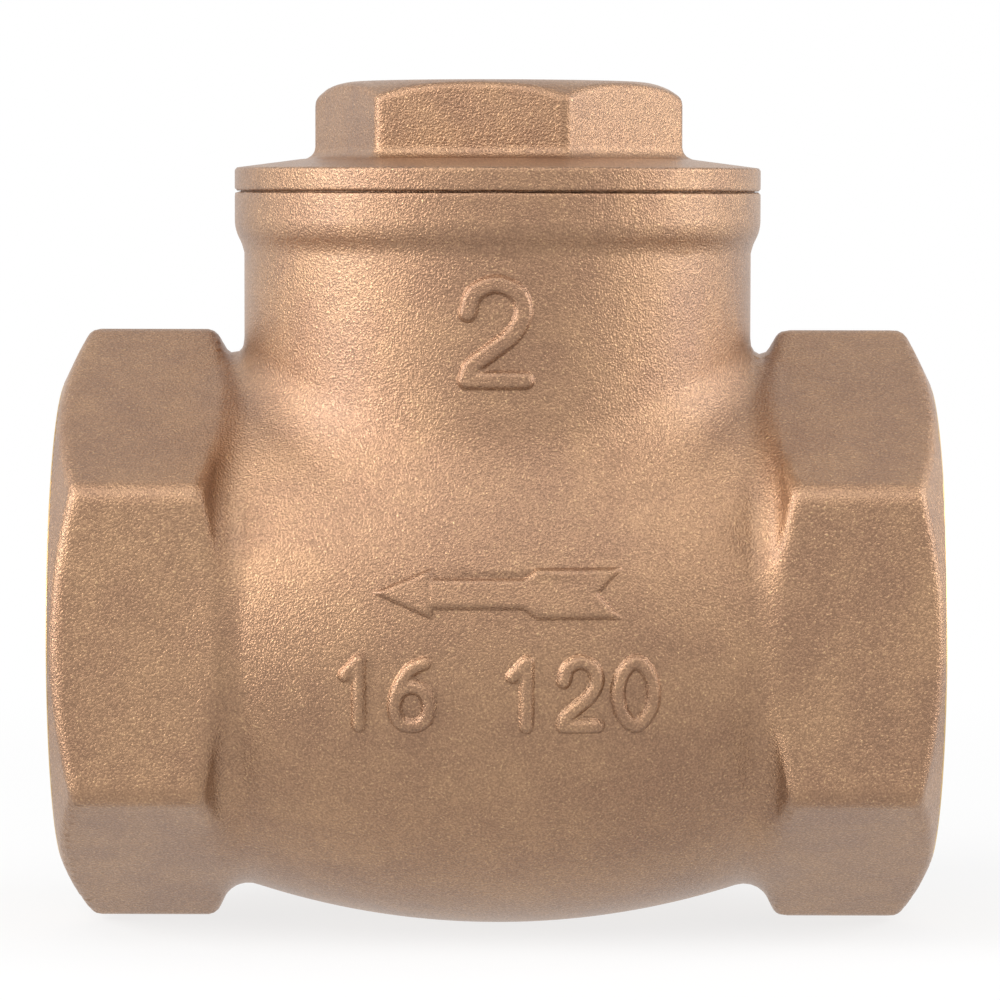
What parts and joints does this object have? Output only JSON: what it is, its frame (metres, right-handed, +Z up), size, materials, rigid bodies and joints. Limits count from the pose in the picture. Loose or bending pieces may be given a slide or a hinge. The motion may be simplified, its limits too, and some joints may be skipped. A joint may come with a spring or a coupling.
{
  "type": "swing check valve",
  "caption": "Threaded swing check valve with hexagonal ends, a screwed hexagonal cap, and a hinged disc that closes on an inner seat.",
  "frame": {"origin": "on the flow axis where the inlet port's thread begins, just behind the chamfer of its mouth", "axes": "+X out of the inlet port along the flow axis, so the flow goes along -X; +Z up along the bonnet's axis; -Y is the front with the flow arrow"},
  "size_m": [0.117, 0.0812, 0.114],
  "materials": {
    "cast_brass": "sandblasted casting",
    "turned_brass": "turned",
    "steel": "satin",
    "copper": "soft copper, plain",
    "rubber": "matte black",
    "gasket": "off-white sealing sheet"
  },
  "bodies": {
    "valve_body": {"body": "cast_brass", "cap": "cast_brass", "cap_gasket": "gasket", "hinge_pin": "steel", "pin_plug": "turned_brass", "plug_washer": "copper"},
    "hanger": {"arm": "turned_brass"},
    "clapper": {"disc": "turned_brass", "disc_seal": "rubber", "disc_washer": "steel", "disc_nut": "turned_brass", "split_pin": "steel"}
  },
  "joints": [
    {"name": "arm_swing", "type": "hinge", "parent": "valve_body", "child": "hanger", "pos_m": [-0.03211, 0, 0.034], "axis": [0, 1, 0], "range_deg": [0, 68]},
    {"name": "disc_spin", "type": "hinge", "parent": "hanger", "child": "clapper", "pos_m": [-0.03358, 0, 0], "axis": [-0.9962, 0, 0.0872], "continuous": true}
  ]
}
